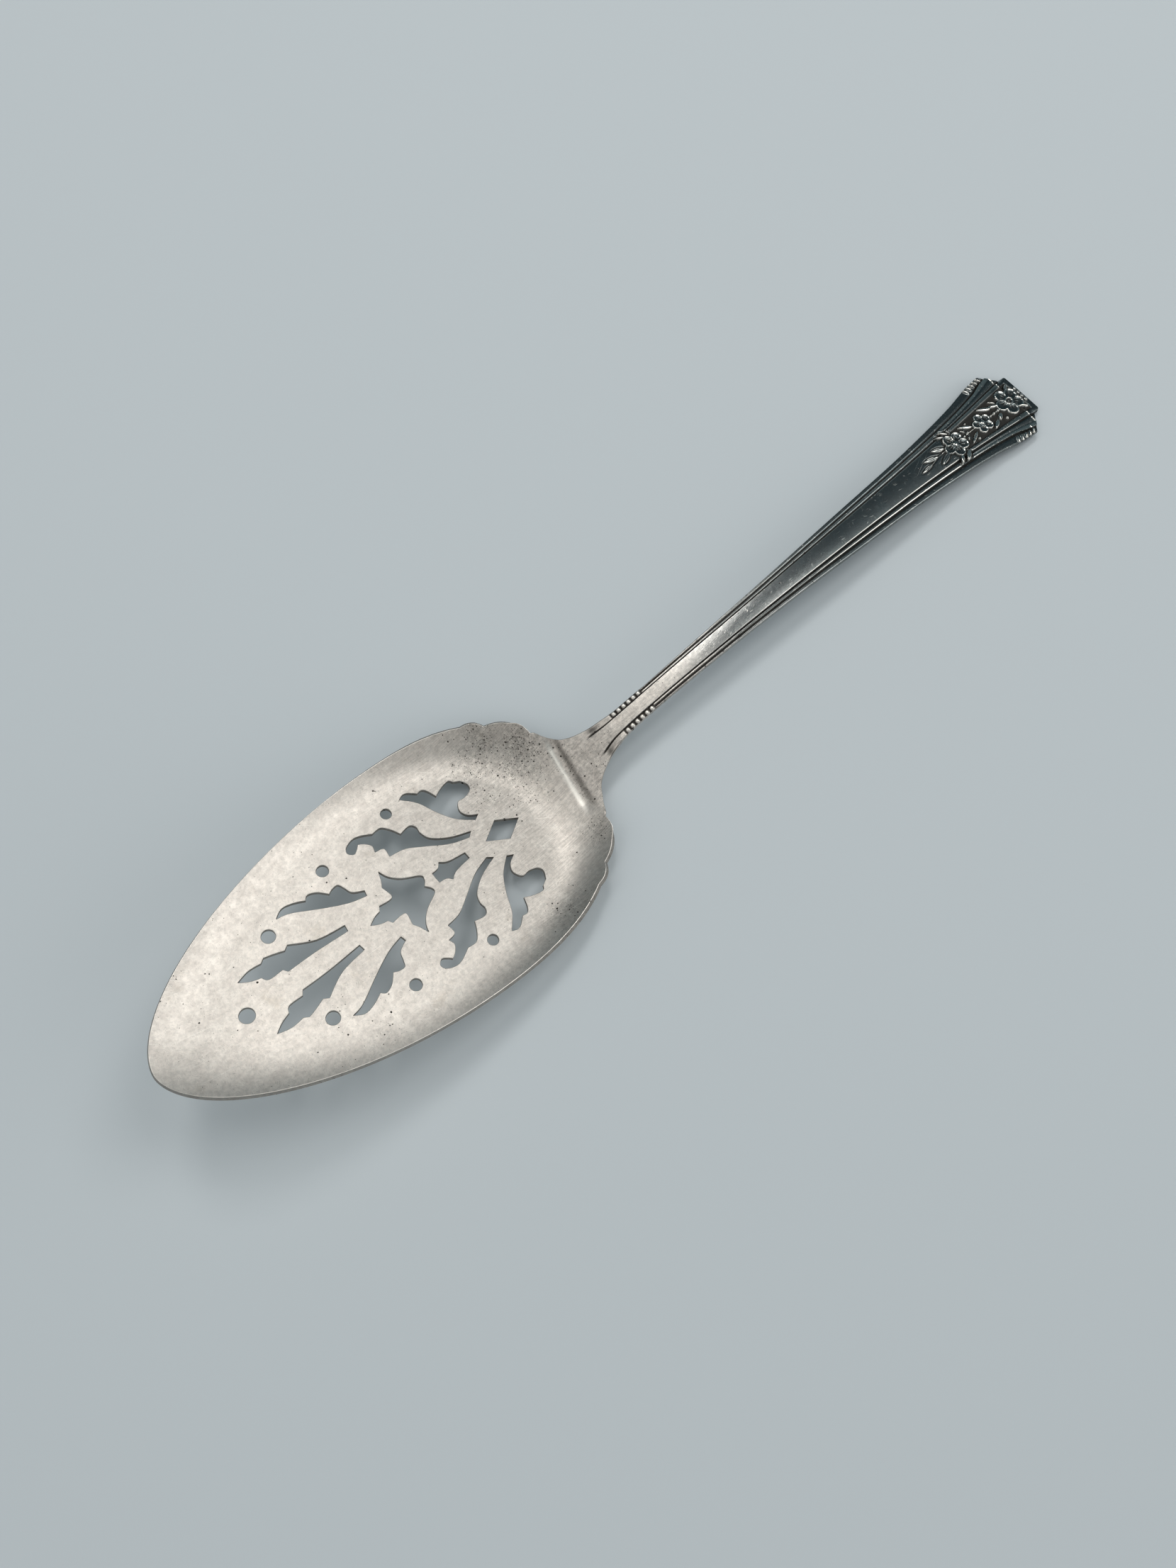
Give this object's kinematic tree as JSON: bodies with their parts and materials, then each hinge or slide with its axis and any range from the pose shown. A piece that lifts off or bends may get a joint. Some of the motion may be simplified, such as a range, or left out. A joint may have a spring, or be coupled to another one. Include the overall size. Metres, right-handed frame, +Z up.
{
  "type": "pie server",
  "caption": "Pie server with a dished, leaf-shaped blade pierced with leaves and a flower, scalloped shoulders and an arched, reeded handle with a blossom relief at its stepped end.",
  "frame": {"origin": "on the table under the middle of the server as it lies, level with the lowest points of the heel and the handle end", "axes": "+X from the tip of the blade to the end of the handle, +Y across the blade, +Z up from the table"},
  "size_m": [0.251, 0.0582, 0.0315],
  "materials": {
    "blade_silver": "worn silver plate, warm and pale, with fine scratches and small dark pits towards the heel",
    "handle_silver": "worn silver plate with dark tarnish left in the grooves and round the relief"
  },
  "bodies": {
    "root": {"blade": "blade_silver", "handle": "handle_silver"}
  },
  "joints": []
}
